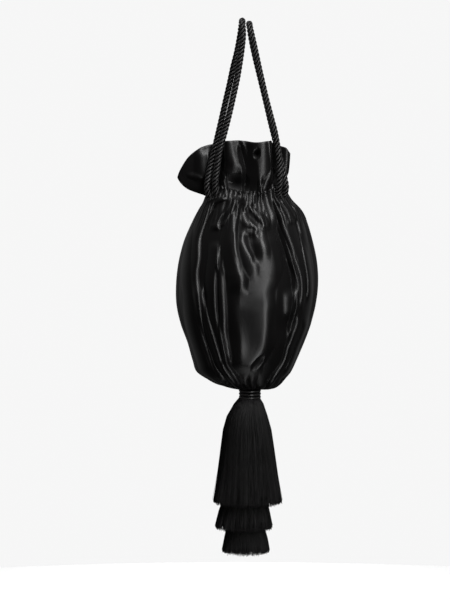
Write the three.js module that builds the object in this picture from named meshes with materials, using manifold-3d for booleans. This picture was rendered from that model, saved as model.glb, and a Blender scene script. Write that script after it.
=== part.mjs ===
// A drawstring pouch bag: a gathered satin pouch with a frilled mouth, two rope pull loops and a tassel.
// Millimetres, +Z up. The front faces -Y, and the origin is the point that carries the rope loops.
import * as THREE from 'three';
import { LoftGeometry } from 'three/addons/geometries/LoftGeometry.js';
import { mergeVertices } from 'three/addons/utils/BufferGeometryUtils.js';
import Module from 'manifold-3d';

const wasm = await Module();
wasm.setup();

// Driving dimensions
const WALL = 2;                 // satin with its lining
const GAP = 0.3;                // left between pieces that touch
const ROPE_DIAMETER = 6.4;
const PLEATS = 28;              // gathers drawn up by the ropes
const PLEAT_DEPTH = 1.7;
const FOOT_X = 3;               // the tied foot hangs a little right of the hang point
const STUB_RADIUS = 7.6;        // gathered cloth and tassel head inside the binding
const STUB_JOIN_DROP = 366.4;   // level where the cloth stub meets the tassel head
const BINDING_TOP_DROP = 361.8;
const BINDING_TURNS = 3;
const BINDING_CORD = 3.2;
const LOCKS = 16;               // thread locks round one tassel tier
const LOCK_DEPTH = 0.07;        // depth of the grooves between locks, as a share of the radius

// How finely the solids are cut into faces
const POUCH_COLUMNS = 3 * PLEATS;
const TASSEL_COLUMNS = 3 * LOCKS;
const BINDING_COLUMNS = 20;
const ROPE_SIDES = 8;
const ROPE_STEPS = 40;

const DEGREE = Math.PI / 180;

// The pouch from its foot up to the top of the drawstring casing. Drop is the depth below the hang point,
// x the middle of the section and left, right, front and back its reach. Folds, pleats and lift say how much
// of the long folds, of the gathers and of the casing's lift a section carries; the foot sags against it.
const POUCH_ROWS = [
  roundRow(STUB_JOIN_DROP - GAP / 2),
  roundRow(BINDING_TOP_DROP - GAP),
  { drop: 360.8, x: FOOT_X, left: 11, right: 13, front: 11, back: 11, folds: 0, pleats: 0.5, lift: -0.05 },
  { drop: 359.4, x: FOOT_X, left: 19, right: 24, front: 18, back: 18, folds: 0.2, pleats: 0.8, lift: -0.15 },
  { drop: 354, x: 0, left: 37, right: 36, front: 28.5, back: 28.5, folds: 0.5, pleats: 0.5, lift: 0 },
  { drop: 344.6, x: 0, left: 50, right: 42, front: 36, back: 36, folds: 0.9, pleats: 0.1, lift: 0 },
  { drop: 332.5, x: 0, left: 54.5, right: 47.5, front: 41, back: 41, folds: 1, pleats: 0, lift: 0 },
  { drop: 314.3, x: 0, left: 59.5, right: 55.5, front: 46.5, back: 46.5, folds: 1, pleats: 0, lift: 0 },
  { drop: 296.2, x: 0, left: 66, right: 62.2, front: 51, back: 51, folds: 1, pleats: 0, lift: 0 },
  { drop: 276, x: 0, left: 70.3, right: 67.4, front: 54, back: 54, folds: 1, pleats: 0, lift: 0 },
  { drop: 256, x: 0, left: 70.5, right: 69.7, front: 55, back: 55, folds: 1, pleats: 0, lift: 0 },
  { drop: 234, x: 0, left: 67.8, right: 68.3, front: 52.5, back: 52.5, folds: 1, pleats: 0, lift: 0 },
  { drop: 214, x: 0, left: 62.3, right: 63.5, front: 47, back: 47, folds: 1, pleats: 0, lift: 0.1 },
  { drop: 198, x: 0, left: 55.5, right: 58, front: 40, back: 40, folds: 0.9, pleats: 0.2, lift: 0.25 },
  { drop: 187, x: 0, left: 50.5, right: 52.5, front: 33, back: 33, folds: 0.7, pleats: 0.5, lift: 0.5 },
  { drop: 180.5, x: 0, left: 47, right: 44, front: 27, back: 27, folds: 0.3, pleats: 0.9, lift: 0.8 },
  { drop: 174.5, x: 0, left: 43.3, right: 40, front: 24, back: 24, folds: 0, pleats: 1, lift: 0.9 },
  { drop: 168.5, x: 0, left: 41, right: 38.5, front: 21.5, back: 21.5, folds: 0, pleats: 1, lift: 1 },
];
const INNER_FLOOR_ROW = 4;      // the lowest section that is hollow
const FLOOR_RISE = 1.5;         // the tied foot pushes the floor up in the middle
const FLOOR_RADIUS = 10;

// The long folds of the pouch. Top, middle and low are the angles, in degrees round from +X towards +Y, at
// which the fold crosses the three levels below. Height is how far its ridge stands out, and width is half
// its width in degrees.
const FOLD_LEVELS = [186, 256, 340];
const LONG_FOLDS = [
  { top: 205, middle: 217, low: 222, height: 2.5, width: 4 },
  { top: 217, middle: 225, low: 231, height: 5, width: 4.5 },
  { top: 236, middle: 243, low: 250, height: 4, width: 4 },
  { top: 246, middle: 252, low: 256, height: 3, width: 4 },
  { top: 258, middle: 262, low: 266, height: 5, width: 4.5 },
  { top: 270, middle: 283, low: 286, height: 5.5, width: 7 },
  { top: 292, middle: 308, low: 308, height: 3, width: 5 },
  { top: 311, middle: 324, low: 326, height: 5, width: 4.5 },
  { top: 341, middle: 334, low: 338, height: 3, width: 4.5 },
  { top: 2, middle: 355, low: 358, height: 4, width: 5 },
  { top: 24, middle: 20, low: 16, height: 4, width: 5 },
  { top: 47, middle: 42, low: 40, height: 5, width: 5 },
  { top: 66, middle: 67, low: 64, height: 4, width: 5 },
  { top: 90, middle: 88, low: 90, height: 5, width: 5 },
  { top: 111, middle: 114, low: 112, height: 4, width: 5 },
  { top: 134, middle: 137, low: 140, height: 5, width: 5 },
  { top: 158, middle: 160, low: 163, height: 4, width: 5 },
  { top: 183, middle: 186, low: 190, height: 4, width: 5 },
];
const FOLD_SINK = 1.2;          // how far the cloth between the folds lies inside the section's reach

// How far the ropes draw the casing up at an angle
const CASING_LIFT = [
  { angle: 0, lift: 13 },
  { angle: 45, lift: 9 },
  { angle: 90, lift: 6 },
  { angle: 135, lift: 4 },
  { angle: 180, lift: 1 },
  { angle: 200, lift: 2 },
  { angle: 215, lift: 6 },
  { angle: 230, lift: 9 },
  { angle: 250, lift: 7 },
  { angle: 270, lift: 2 },
  { angle: 290, lift: 3 },
  { angle: 310, lift: 7 },
  { angle: 330, lift: 11 },
];

// The hem of the frill that rises from the casing's angle to the point x, y at a depth of drop
const FRILL_ROWS = [
  { angle: 8, x: 42, y: 4, drop: 124 },
  { angle: 22, x: 37, y: 9, drop: 121 },
  { angle: 40, x: 31, y: 15, drop: 118.5 },
  { angle: 60, x: 18, y: 16, drop: 117.5 },
  { angle: 80, x: 7, y: 22, drop: 117 },
  { angle: 100, x: -6.5, y: 17, drop: 117.5 },
  { angle: 120, x: -23, y: 21, drop: 117 },
  { angle: 140, x: -33, y: 16, drop: 119 },
  { angle: 155, x: -46, y: 12, drop: 124 },
  { angle: 166, x: -57, y: 7, drop: 134 },
  { angle: 175, x: -65.5, y: 3, drop: 144 },
  { angle: 182, x: -69.5, y: -1.5, drop: 149 },
  { angle: 188, x: -66, y: -3, drop: 140.5 },
  { angle: 194, x: -58.5, y: -4.6, drop: 129 },
  { angle: 200, x: -48, y: -5.8, drop: 120.5 },
  { angle: 206, x: -40, y: -3.5, drop: 117.5 },
  { angle: 213, x: -31.5, y: -1, drop: 116 },
  { angle: 224, x: -25.5, y: -7, drop: 114 },
  { angle: 236, x: -22, y: -16, drop: 112.2 },
  { angle: 248, x: -15.5, y: -18.4, drop: 111.8 },
  { angle: 258, x: -8.5, y: -18, drop: 111.6 },
  { angle: 268, x: -1.4, y: -18.2, drop: 112.3 },
  { angle: 279, x: 6, y: -20, drop: 113.3 },
  { angle: 287, x: 11, y: -21, drop: 113.3 },
  { angle: 300, x: 19.5, y: -19.4, drop: 112.3 },
  { angle: 307, x: 23.4, y: -16, drop: 112 },
  { angle: 314, x: 24.2, y: -11, drop: 112.2 },
  { angle: 324, x: 22.5, y: -3, drop: 113 },
  { angle: 334, x: 27, y: 1.5, drop: 116 },
  { angle: 344, x: 33.5, y: 0, drop: 118.5 },
  { angle: 351, x: 39, y: -1.5, drop: 120.3 },
  { angle: 358, x: 42.6, y: 0, drop: 125 },
];
const FRILL_STEPS = [0.25, 0.55, 0.8, 1];
const FRILL_BEND_REACH = 0.8;   // the frill leans towards its hem first
const FRILL_BEND_RISE = 0.25;   // and then turns up

// Rope routes, from the front slot in the casing up over the arch and down to the back slot
const LEFT_ROUTE = [
  [-28.4, -12, -169], [-30, -15.2, -165.5], [-31.8, -19, -159], [-31.4, -20.8, -150], [-29.8, -21.2, -138],
  [-27, -21, -119], [-23.3, -20.2, -106], [-18.4, -19, -87], [-14, -17.8, -68], [-10, -16.4, -49.5],
  [-7.4, -15.2, -34], [-5.2, -14.2, -18], [-4.2, -13.4, -5.5], [-4.6, -9.6, 2.2], [-5, 0, 6.2],
  [-5.6, 9.6, 2.2], [-6.8, 13.4, -7.5], [-9.8, 11.8, -24], [-13.8, 8.8, -40], [-17.2, 5.4, -56],
  [-21.8, 1.2, -75.5], [-26, -2.8, -94], [-30.3, -6.8, -112], [-35, -11, -131.5], [-38.8, -14.2, -149],
  [-39.8, -14.8, -158], [-37.8, -11.6, -166.5], [-35.6, -8.8, -171],
];
const RIGHT_ROUTE = [
  [28, -11.6, -169], [29.6, -14.8, -165.5], [31.6, -18.6, -158], [32.2, -20.2, -149], [31.8, -20.4, -137],
  [30, -20.2, -119], [27.2, -19.6, -103], [23, -18.6, -87], [18, -17.4, -68], [13.8, -16, -50],
  [10, -14.8, -33], [7.4, -14.2, -21], [4.6, -13.4, -8.5], [2.9, -9.6, -0.8], [2, 0, 3.2],
  [2.4, 9.6, -0.8], [4, 13.4, -10.5], [7.2, 11.8, -26], [11, 8.8, -42], [15.2, 5.2, -59], [19.4, 1.6, -76.5],
  [23.6, -1.8, -94.5], [28, -5.2, -112], [32.8, -8.8, -131], [37, -12, -149], [38.4, -13.2, -158],
  [36.6, -10.4, -166], [34.6, -7.8, -170.5],
];

// Tassel tiers from the top down: drop, the middle's x and the radius of the thread bundle. The hollow under
// a tier takes the head of the next one.
const HEAD_RADIUS = 9;
const TIERS = [
  {
    name: 'tassel_tier_top',
    rows: [
      { drop: 373, x: FOOT_X, radius: 9.6 },
      { drop: 379, x: 1.5, radius: 15.4 },
      { drop: 390, x: 0.5, radius: 20 },
      { drop: 402, x: 0.5, radius: 23.6 },
      { drop: 420, x: 0.5, radius: 26.6 },
      { drop: 447, x: 0.8, radius: 30 },
      { drop: 476, x: 0.8, radius: 34 },
    ],
    hollow: { drop: 446, x: 0, radius: HEAD_RADIUS + GAP, rim: 27.5 },
  },
  {
    name: 'tassel_tier_middle',
    rows: [
      { drop: 446 + GAP, x: 0, radius: HEAD_RADIUS },
      { drop: 452, x: 0, radius: 13 },
      { drop: 470, x: -1.5, radius: 20.5 },
      { drop: 484, x: -2.5, radius: 25 },
      { drop: 502, x: -3, radius: 28.4 },
    ],
    hollow: { drop: 482, x: -2, radius: HEAD_RADIUS + GAP, rim: 22.6 },
  },
  {
    name: 'tassel_tier_bottom',
    rows: [
      { drop: 482 + GAP, x: -2, radius: HEAD_RADIUS },
      { drop: 488, x: -2, radius: 13 },
      { drop: 502, x: -1.5, radius: 18.5 },
      { drop: 512, x: -1, radius: 21.3 },
      { drop: 526.5, x: -1, radius: 23.6 },
    ],
  },
];
const LOCK_TIP = 2.2;           // the locks' tips hang below the grooves between them

const satin = new THREE.MeshStandardMaterial({ color: 0x0e0d0e, roughness: 0.32, metalness: 0 });
const ropeSilk = new THREE.MeshStandardMaterial({ color: 0x0c0c0d, roughness: 0.5, metalness: 0 });
const tasselThread = new THREE.MeshStandardMaterial({ color: 0x0b0b0c, roughness: 0.6, metalness: 0 });

// A round section of the gathered stub inside the binding
function roundRow(drop) {
  const reach = { left: STUB_RADIUS, right: STUB_RADIUS, front: STUB_RADIUS, back: STUB_RADIUS };
  return { drop, x: FOOT_X, ...reach, folds: 0, pleats: 0, lift: 0 };
}

// The value of a named column at a level between three given ones, on straight stretches
function betweenLevels(levels, values, level) {
  const upper = level < levels[1] ? 0 : 1;
  const span = levels[upper + 1] - levels[upper];
  const share = THREE.MathUtils.clamp((level - levels[upper]) / span, 0, 1);
  return THREE.MathUtils.lerp(values[upper], values[upper + 1], share);
}

// The shortest turn from one angle to another, in degrees from -180 to 180
function turn(from, to) {
  return THREE.MathUtils.euclideanModulo(to - from + 180, 360) - 180;
}

// How far the long folds push the cloth out at an angle of a section
function foldHeight(row, angle) {
  let height = -FOLD_SINK;
  for (const fold of LONG_FOLDS) {
    const ridge = betweenLevels(FOLD_LEVELS, [fold.top, fold.middle, fold.low], row.drop);
    const away = turn(ridge, angle) / fold.width;
    height += fold.height * Math.exp(-away * away);
  }
  return height * row.folds;
}

// The unit vector that points straight out of a section at an angle
function outward(row, angle) {
  const c = Math.cos(angle * DEGREE);
  const s = Math.sin(angle * DEGREE);
  const reachX = c < 0 ? row.left : row.right;
  const reachY = s < 0 ? row.front : row.back;
  return new THREE.Vector3(c / reachX, s / reachY, 0).normalize();
}

// A point of the outer cloth on one section, with its folds and gathers
function sectionPoint(row, angle) {
  const c = Math.cos(angle * DEGREE);
  const s = Math.sin(angle * DEGREE);
  const x = row.x + c * (c < 0 ? row.left : row.right);
  const y = s * (s < 0 ? row.front : row.back);
  const point = new THREE.Vector3(x, y, row.lift * aroundTable(CASING_LIFT, angle).lift - row.drop);
  const pleat = row.pleats * PLEAT_DEPTH * (Math.cos(PLEATS * angle * DEGREE) - 1) / 2;
  return point.addScaledVector(outward(row, angle), foldHeight(row, angle) + pleat);
}

// The columns of a table round the bag at an angle, eased from one row to the next
function aroundTable(rows, angle) {
  const next = rows.findIndex((row) => row.angle > angle);
  const after = rows[next < 0 ? 0 : next];
  const before = rows.at(next - 1 < 0 ? -1 : next - 1);
  const span = THREE.MathUtils.euclideanModulo(after.angle - before.angle, 360);
  const gone = THREE.MathUtils.euclideanModulo(angle - before.angle, 360);
  const share = THREE.MathUtils.smoothstep(gone, 0, span);
  const columns = Object.keys(before).filter((name) => name !== 'angle');
  return Object.fromEntries(
    columns.map((name) => [name, THREE.MathUtils.lerp(before[name], after[name], share)]),
  );
}

// A point of the frill on a curve that leaves the casing's top, leans out and turns up to the hem
function frillPoint(share, angle) {
  const foot = sectionPoint(POUCH_ROWS.at(-1), angle);
  const { x, y, drop } = aroundTable(FRILL_ROWS, angle);
  const hem = new THREE.Vector3(x, y, -drop);
  const bend = new THREE.Vector3(
    THREE.MathUtils.lerp(foot.x, hem.x, FRILL_BEND_REACH),
    THREE.MathUtils.lerp(foot.y, hem.y, FRILL_BEND_REACH),
    THREE.MathUtils.lerp(foot.z, hem.z, FRILL_BEND_RISE),
  );
  return new THREE.QuadraticBezierCurve3(foot, bend, hem).getPoint(share);
}

// One ring of points, counter-clockwise seen from above
function ring(columns, pointAt) {
  return Array.from({ length: columns }, (_, column) => pointAt(360 * column / columns));
}

// The inner side of the cloth: each ring set back by the wall along the cloth's own outward direction
function innerRings(rings) {
  return rings.map((points, index) => {
    const above = rings[Math.min(index + 1, rings.length - 1)];
    const below = rings[Math.max(index - 1, 0)];
    return points.map((point, column) => {
      const count = points.length;
      const along = points[(column + 2) % count].clone().sub(points[(column + count - 2) % count]);
      const rising = above[column].clone().sub(below[column]);
      const out = along.cross(rising).normalize();
      return point.clone().addScaledVector(out, -WALL);
    });
  });
}

// The whole pouch wall: up the outside, over the hem, down the inside and across the floor
function pouchGeometry() {
  const body = POUCH_ROWS.map((row) => ring(POUCH_COLUMNS, (angle) => sectionPoint(row, angle)));
  const frill = FRILL_STEPS.map((share) => ring(POUCH_COLUMNS, (angle) => frillPoint(share, angle)));
  const outer = [...body, ...frill];
  const inner = innerRings(outer).slice(INNER_FLOOR_ROW).reverse();
  const floorDrop = POUCH_ROWS[INNER_FLOOR_ROW].drop - WALL - FLOOR_RISE;
  const floor = ring(POUCH_COLUMNS, (angle) => new THREE.Vector3(
    FOOT_X + FLOOR_RADIUS * Math.cos(angle * DEGREE),
    FLOOR_RADIUS * Math.sin(angle * DEGREE),
    -floorDrop,
  ));
  return new LoftGeometry([...outer, ...inner, floor], { capStart: true, capEnd: true });
}

// A round tube along a rope's route
function ropeGeometry(route, radius) {
  const points = route.map((point) => new THREE.Vector3(...point));
  const curve = new THREE.CatmullRomCurve3(points, false, 'centripetal');
  const circle = new THREE.EllipseCurve(0, 0, radius, radius).getPoints(ROPE_SIDES);
  const section = new THREE.Shape(circle.slice(0, -1));
  return new THREE.ExtrudeGeometry(section, { steps: ROPE_STEPS, extrudePath: curve, bevelEnabled: false });
}

// The wound binding: a ring whose outside is scalloped by its cord turns
function bindingGeometry() {
  const inner = STUB_RADIUS + GAP;
  const half = BINDING_CORD / 2;
  const profile = [new THREE.Vector2(inner, -BINDING_TURNS * BINDING_CORD)];
  for (let turnIndex = BINDING_TURNS - 1; turnIndex >= 0; turnIndex -= 1) {
    for (const slope of [-90, -45, 0, 45]) {
      const level = -half * (2 * turnIndex + 1) + half * Math.sin(slope * DEGREE);
      profile.push(new THREE.Vector2(inner + half + half * Math.cos(slope * DEGREE), level));
    }
  }
  profile.push(new THREE.Vector2(inner + half, 0), new THREE.Vector2(inner, 0), profile[0].clone());
  const geometry = new THREE.LatheGeometry(profile, BINDING_COLUMNS);
  return geometry.rotateX(Math.PI / 2).translate(FOOT_X, 0, -BINDING_TOP_DROP);
}

// One ring of a tassel tier, with a ridge down each lock and a longer tip where the lock ends
function tierRing(row, lockShare, tip) {
  return ring(TASSEL_COLUMNS, (angle) => {
    const crest = Math.cos(LOCKS * angle * DEGREE);
    const radius = row.radius * (1 + LOCK_DEPTH * lockShare * (crest - 1) / 2);
    return new THREE.Vector3(
      row.x + radius * Math.cos(angle * DEGREE),
      radius * Math.sin(angle * DEGREE),
      -row.drop - tip * crest,
    );
  });
}

// A skirt of thread locks that hang from one head, hollow below where the next tier hangs inside it
function tierGeometry(tier, first) {
  const skirt = tier.rows.map((row, index) => {
    const atHem = index === tier.rows.length - 1;
    return tierRing(row, index === 0 ? 0 : 1, atHem ? LOCK_TIP : 0);
  });
  const head = first ? [STUB_JOIN_DROP + GAP / 2, BINDING_TOP_DROP + BINDING_TURNS * BINDING_CORD + GAP] : [];
  const stub = head.map((drop) => tierRing({ drop, x: FOOT_X, radius: STUB_RADIUS }, 0, 0));
  const hem = tier.rows.at(-1);
  const underside = [];
  if (tier.hollow) {
    const { drop, x, radius, rim } = tier.hollow;
    underside.push(tierRing({ drop: hem.drop - LOCK_TIP, x: hem.x, radius: rim }, 0, 0));
    underside.push(tierRing({ drop: drop - GAP, x, radius }, 0, 0));
    underside.push(tierRing({ drop, x, radius: radius / 2 }, 0, 0));
  } else {
    underside.push(tierRing({ drop: hem.drop + LOCK_TIP / 2, x: hem.x, radius: hem.radius / 2 }, 0, 0));
  }
  const downwards = [...stub, ...skirt, ...underside];
  const upwards = downwards.reverse();
  return new LoftGeometry(upwards, { capStart: true, capEnd: true });
}

// A closed mesh as a solid for cutting, and back
function toSolid(geometry) {
  const bare = new THREE.BufferGeometry();
  bare.setAttribute('position', geometry.getAttribute('position').clone());
  bare.setIndex(geometry.index ?? [...Array(geometry.getAttribute('position').count).keys()]);
  const merged = mergeVertices(bare, 1e-3);
  return new wasm.Manifold(new wasm.Mesh({
    numProp: 3,
    vertProperties: new Float32Array(merged.getAttribute('position').array),
    triVerts: new Uint32Array(merged.index.array),
  }));
}

function toGeometry(solid) {
  const mesh = solid.getMesh();
  const geometry = new THREE.BufferGeometry();
  geometry.setAttribute('position', new THREE.BufferAttribute(new Float32Array(mesh.vertProperties), 3));
  geometry.setIndex(new THREE.BufferAttribute(new Uint32Array(mesh.triVerts), 1));
  geometry.computeVertexNormals();
  return geometry;
}

function addPiece(group, name, geometry, material) {
  const mesh = new THREE.Mesh(geometry, material);
  mesh.name = name;
  group.add(mesh);
}

const bag = new THREE.Group();
bag.name = 'drawstring_pouch_bag';

// The ropes go into the casing through slots that clear them all round
let pouch = toSolid(pouchGeometry());
for (const route of [LEFT_ROUTE, RIGHT_ROUTE]) {
  pouch = pouch.subtract(toSolid(ropeGeometry(route, ROPE_DIAMETER / 2 + GAP)));
}
addPiece(bag, 'satin_pouch', toGeometry(pouch), satin);
addPiece(bag, 'rope_loop_left', ropeGeometry(LEFT_ROUTE, ROPE_DIAMETER / 2), ropeSilk);
addPiece(bag, 'rope_loop_right', ropeGeometry(RIGHT_ROUTE, ROPE_DIAMETER / 2), ropeSilk);
addPiece(bag, 'foot_binding', bindingGeometry(), ropeSilk);
TIERS.forEach((tier, index) => addPiece(bag, tier.name, tierGeometry(tier, index === 0), tasselThread));

export default bag;
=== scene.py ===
"""The looks of a black satin drawstring pouch bag with twisted rope pull loops and a three-tier tassel.

The tables below are in millimetres, and every mesh is in metres, +Z up, with the front towards -Y. Angles run
from +X towards +Y, so that 270 degrees is the front and 180 the left. A drop is a depth below the hang point.
Each piece is a surface worked out as whole arrays.
"""
import math
from collections import namedtuple

import bpy
import numpy as np
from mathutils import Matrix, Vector


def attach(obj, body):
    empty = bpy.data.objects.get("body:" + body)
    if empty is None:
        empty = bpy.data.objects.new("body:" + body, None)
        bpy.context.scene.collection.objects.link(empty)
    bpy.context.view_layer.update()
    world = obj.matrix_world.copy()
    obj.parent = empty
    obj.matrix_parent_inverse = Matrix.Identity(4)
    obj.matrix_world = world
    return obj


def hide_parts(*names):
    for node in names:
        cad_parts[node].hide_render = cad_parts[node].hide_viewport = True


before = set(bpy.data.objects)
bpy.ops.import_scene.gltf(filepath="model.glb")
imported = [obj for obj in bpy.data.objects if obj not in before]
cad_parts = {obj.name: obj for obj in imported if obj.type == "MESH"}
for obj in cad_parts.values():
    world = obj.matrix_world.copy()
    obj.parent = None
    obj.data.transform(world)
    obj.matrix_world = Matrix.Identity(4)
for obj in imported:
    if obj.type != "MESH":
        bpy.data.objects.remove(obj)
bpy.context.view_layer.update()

MM = 0.001
BODY = "root"

# Driving sizes, with lengths in millimetres
CLOTH = 1.3                 # satin with its lining
CASING_TOP = 168.5
HEM_DROP = 112.0
GATHERS = 52                # pleats that the ropes draw up round the casing
GATHER_DEPTH = 0.8
EDGE_LEVEL = 164.0          # where the gathers end under the frill
FRILL_RECESS = 1.6          # how far the frill's foot lies behind the gathers
LOBE_ANGLE = 198            # where the gathers are shallow, under the frill's lobe on the left
FOLD_ROOM = 1.0             # the plain body lies this far inside its outline, because its folds stand out
CREASE_RADIUS = 1.4         # an inward bend this tight gets the full painted crease shade
SHADED_DEPTH = 3.6          # a hollow this deep gets painted shade as dark as a full crease
FOOT_X = 3.0                # the tied foot hangs a little right of the hang point
FOOT_PLEATS = 23
FOOT_PLEAT_DEPTH = 2.2
FLOOR_RISE = 1.5            # how far the middle of the lining's floor stands up
ROPE_DIAMETER = 6.4
ROPE_STRANDS = 4
STRAND_SHARE = 0.235        # a strand's radius as a share of the rope's diameter
ROPE_PITCH = 16.4           # length in which a strand goes once round
BINDING_RADIUS = 9.5        # from the foot's middle to the middle of the cord
BINDING_TOP = 361.8
BINDING_TURNS = 3
BINDING_CORD = 3.2
THREAD = 0.42
THREAD_LAYER = 2.2          # how deep a tier's threads lie over each other
CORE_INSET = 0.9            # how far a tier's core lies inside the bundle
CORE_SHORT = 3.0            # and how much shorter it is
TIER_LOCKS = 16
LOCK_PULL = 0.22            # how strongly the threads draw together into locks
THREAD_SWAY = 0.035         # how far the threads stray from their place, in radians
THREAD_FLARE = 0.02         # and from the bundle at the hem, as a share of its radius
CUT_SPREAD = 1.0            # how unevenly they end

# Tones of the threads from 0 to 1: the mean of their own and of their cut ends, the painted light that the
# head adds and the painted shade that the depth in the layer takes
OWN_TONE = 0.1
END_TONE = 0.24
HEAD_PAINTED_LIGHT = 0.48
DEPTH_PAINTED_SHADE = 0.08

# How finely the pouch is cut: columns round it, rows up its outside and rows down its inside
FRONT_COLUMNS = 370
BACK_COLUMNS = 150
BODY_ROWS = 122
FRILL_ROWS_UP = 46
LINING_ROWS = 28
LINING_START = 14           # the outside's row at which the lining ends over the tied foot

# How finely the ropes and threads are cut
ROPE_STEP = 0.6
STRAND_POINTS = 12
THREAD_STEPS = 10

# The cloth's UV map: the radius of its girth, and the lengths of the frill and the lining
GIRTH_RADIUS = 62.0
FRILL_LENGTH = 52.0
LINING_LENGTH = 290.0

# The bank of lamps, on an arc in front of the bag: name, rise in degrees and power
LAMP_BANK = (
    ("foot_lamp", -78, 1.8), ("low_lamp", -32, 7.0), ("middle_lamp", 6, 7.8), ("high_lamp", 46, 14.0),
    ("top_lamp", 84, 9.0),
)
LAMP_TURN = 22              # degrees by which the bank stands to the right of the camera
LAMP_DISTANCE = 1.7         # in metres, like the lamps' width and height
LAMP_SIZE = (0.34, 1.15)

# Sections of the pouch from its foot up to the top of the casing: drop, middle, reach to the left, to the
# right and to the front and back, and the share of the casing's lift that the section carries
POUCH_ROWS = np.array([
    (366.2, FOOT_X, 7.6, 7.6, 7.6, 0),
    (361.8, FOOT_X, 7.6, 7.6, 7.6, 0),
    (360.8, FOOT_X, 11, 13, 11, -0.1),
    (359.4, FOOT_X, 19, 24, 18, -0.15),
    (356.0, 1, 32, 33, 26, -0.1),
    (350.6, 0, 41.5, 38, 31.5, 0),
    (344.6, 0, 50, 42, 36, 0),
    (332.5, 0, 54.5, 47.5, 41, 0),
    (314.3, 0, 59.5, 55.5, 46.5, 0),
    (296.2, 0, 66, 62.2, 51, 0),
    (276.0, 0, 70.3, 67.4, 54, 0),
    (256.0, 0, 70.5, 69.7, 55, 0),
    (234.0, 0, 67.8, 68.3, 52.5, 0),
    (214.0, 0, 62.3, 63.5, 47, 0.1),
    (198.0, 0, 55.5, 58, 40, 0.25),
    (187.0, 0, 50.5, 52.5, 33, 0.5),
    (180.5, 0, 47, 44, 27, 0.8),
    (174.5, 0, 43.3, 40, 24, 0.9),
    (CASING_TOP, 0, 41, 38.5, 21.5, 1),
])

# How far the ropes draw the casing up: angle, lift
CASING_LIFT = np.array([
    (0, 13), (45, 9), (90, 6), (135, 4), (180, 1), (200, 2), (215, 6), (230, 9), (250, 7), (270, 2), (290, 3),
    (310, 7), (330, 11),
])

# The frill's hem: the angle at which it leaves the casing, and its x, y and drop
FRILL_HEM = np.array([
    (8, 42, 4, 124), (22, 37, 9, 121), (40, 31, 15, 118.5), (60, 18, 16, 117.5), (80, 7, 22, 117),
    (100, -6.5, 17, 117.5), (120, -23, 21, 117), (140, -33, 16, 119), (155, -46, 12, 124), (166, -57, 7, 134),
    (175, -65.5, 3, 144), (182, -69.5, -1.5, 149), (188, -66, -3, 140.5), (194, -58.5, -4.6, 129),
    (200, -48, -5.8, 120.5), (206, -40, -3.5, 117.5), (213, -31.5, -1, 116), (224, -25.5, -7, 114),
    (236, -22, -16, 112.2), (248, -15.5, -18.4, 111.8), (258, -8.5, -18, 111.6), (268, -1.4, -18.2, 112.3),
    (279, 6, -20, 113.3), (287, 11, -21, 113.3), (300, 19.5, -19.4, 112.3), (307, 23.4, -16, 112),
    (314, 24.2, -11, 112.2), (324, 22.5, -3, 113), (334, 27, 1.5, 116), (344, 33.5, 0, 118.5),
    (351, 39, -1.5, 120.3), (358, 42.6, 0, 125),
])
FRILL_BEND_REACH = 0.8      # the frill leans towards its hem first
FRILL_BEND_RISE = 0.25      # and then turns up

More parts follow.
